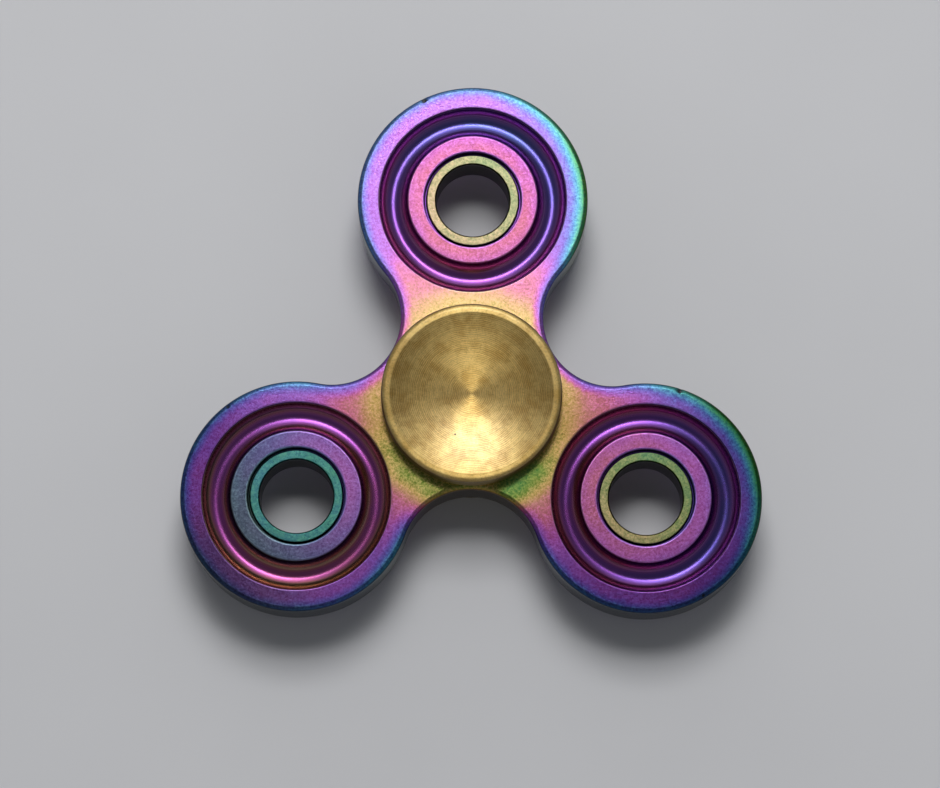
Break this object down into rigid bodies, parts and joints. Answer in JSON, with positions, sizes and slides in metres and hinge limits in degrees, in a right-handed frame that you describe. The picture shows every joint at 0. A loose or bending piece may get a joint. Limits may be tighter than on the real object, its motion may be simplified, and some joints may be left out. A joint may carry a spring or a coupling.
{
  "type": "fidget spinner",
  "caption": "Three-lobe hand spinner with a coated metal body, weighted lobes with through-holes, a ball bearing and brass finger caps.",
  "frame": {"origin": "on the spin axis at mid-thickness, which is also the centre of the bearing", "axes": "+Z along the spin axis towards the upper finger cap, +Y towards lobe 1, +X to the right"},
  "size_m": [0.0756, 0.0695, 0.015],
  "materials": {
    "iridescent_body": "satin grained metal under a thin rainbow coat, gold-green beside the caps, violet on the lobes, teal at the edges",
    "iridescent_weight_1": "rainbow coat: pink ring, violet polished channel",
    "iridescent_weight_2": "rainbow coat: grey-blue to magenta ring, brown-pink polished channel",
    "iridescent_weight_3": "rainbow coat: orange-pink to magenta ring, violet polished channel",
    "iridescent_sleeve_1": "satin gold coat",
    "iridescent_sleeve_2": "satin teal coat",
    "iridescent_sleeve_3": "satin olive-gold coat",
    "bearing_steel": "ground bearing steel",
    "ball_steel": "polished",
    "cage_steel": "pressed sheet steel",
    "shield_steel": "pressed sheet steel",
    "turned_brass": "bare brass with fine concentric turning marks"
  },
  "bodies": {
    "finger_grip": {"finger_cap_upper": "turned_brass", "finger_cap_lower": "turned_brass", "bearing_inner_race": "bearing_steel"},
    "rotor": {"spinner_body": "iridescent_body", "lobe_weight_1": "iridescent_weight_1", "lobe_weight_2": "iridescent_weight_2", "lobe_weight_3": "iridescent_weight_3", "lobe_sleeve_1": "iridescent_sleeve_1", "lobe_sleeve_2": "iridescent_sleeve_2", "lobe_sleeve_3": "iridescent_sleeve_3", "bearing_outer_race": "bearing_steel", "bearing_shield_upper": "shield_steel", "bearing_shield_lower": "shield_steel", "shield_ring_upper": "shield_steel", "shield_ring_lower": "shield_steel"},
    "ball_cage": {"bearing_cage_upper": "cage_steel", "bearing_cage_lower": "cage_steel", "cage_rivets": "cage_steel"},
    "ball_1": {"bearing_ball_1": "ball_steel"},
    "ball_2": {"bearing_ball_2": "ball_steel"},
    "ball_3": {"bearing_ball_3": "ball_steel"},
    "ball_4": {"bearing_ball_4": "ball_steel"},
    "ball_5": {"bearing_ball_5": "ball_steel"},
    "ball_6": {"bearing_ball_6": "ball_steel"},
    "ball_7": {"bearing_ball_7": "ball_steel"}
  },
  "joints": [
    {"name": "rotor_spin", "type": "hinge", "parent": "finger_grip", "child": "rotor", "pos_m": [0, 0, 0], "axis": [0, 0, 1], "continuous": true},
    {"name": "cage_spin", "type": "hinge", "parent": "finger_grip", "child": "ball_cage", "pos_m": [0, 0, 0], "axis": [0, 0, 1], "continuous": true},
    {"name": "ball_1_spin", "type": "hinge", "parent": "ball_cage", "child": "ball_1", "pos_m": [0.0075, 0, 0], "axis": [0, 0, 1], "continuous": true},
    {"name": "ball_2_spin", "type": "hinge", "parent": "ball_cage", "child": "ball_2", "pos_m": [0.00468, 0.00586, 0], "axis": [0, 0, 1], "continuous": true},
    {"name": "ball_3_spin", "type": "hinge", "parent": "ball_cage", "child": "ball_3", "pos_m": [-0.00167, 0.00731, 0], "axis": [0, 0, 1], "continuous": true},
    {"name": "ball_4_spin", "type": "hinge", "parent": "ball_cage", "child": "ball_4", "pos_m": [-0.00676, 0.00325, 0], "axis": [0, 0, 1], "continuous": true},
    {"name": "ball_5_spin", "type": "hinge", "parent": "ball_cage", "child": "ball_5", "pos_m": [-0.00676, -0.00325, 0], "axis": [0, 0, 1], "continuous": true},
    {"name": "ball_6_spin", "type": "hinge", "parent": "ball_cage", "child": "ball_6", "pos_m": [-0.00167, -0.00731, 0], "axis": [0, 0, 1], "continuous": true},
    {"name": "ball_7_spin", "type": "hinge", "parent": "ball_cage", "child": "ball_7", "pos_m": [0.00468, -0.00586, 0], "axis": [0, 0, 1], "continuous": true}
  ],
  "couplings": [
    {"joint": "cage_spin", "follows": "rotor_spin", "ratio": 0.6323},
    {"joint": "ball_1_spin", "follows": "rotor_spin", "ratio": 1.7573},
    {"joint": "ball_2_spin", "follows": "rotor_spin", "ratio": 1.7573},
    {"joint": "ball_3_spin", "follows": "rotor_spin", "ratio": 1.7573},
    {"joint": "ball_4_spin", "follows": "rotor_spin", "ratio": 1.7573},
    {"joint": "ball_5_spin", "follows": "rotor_spin", "ratio": 1.7573},
    {"joint": "ball_6_spin", "follows": "rotor_spin", "ratio": 1.7573},
    {"joint": "ball_7_spin", "follows": "rotor_spin", "ratio": 1.7573}
  ]
}
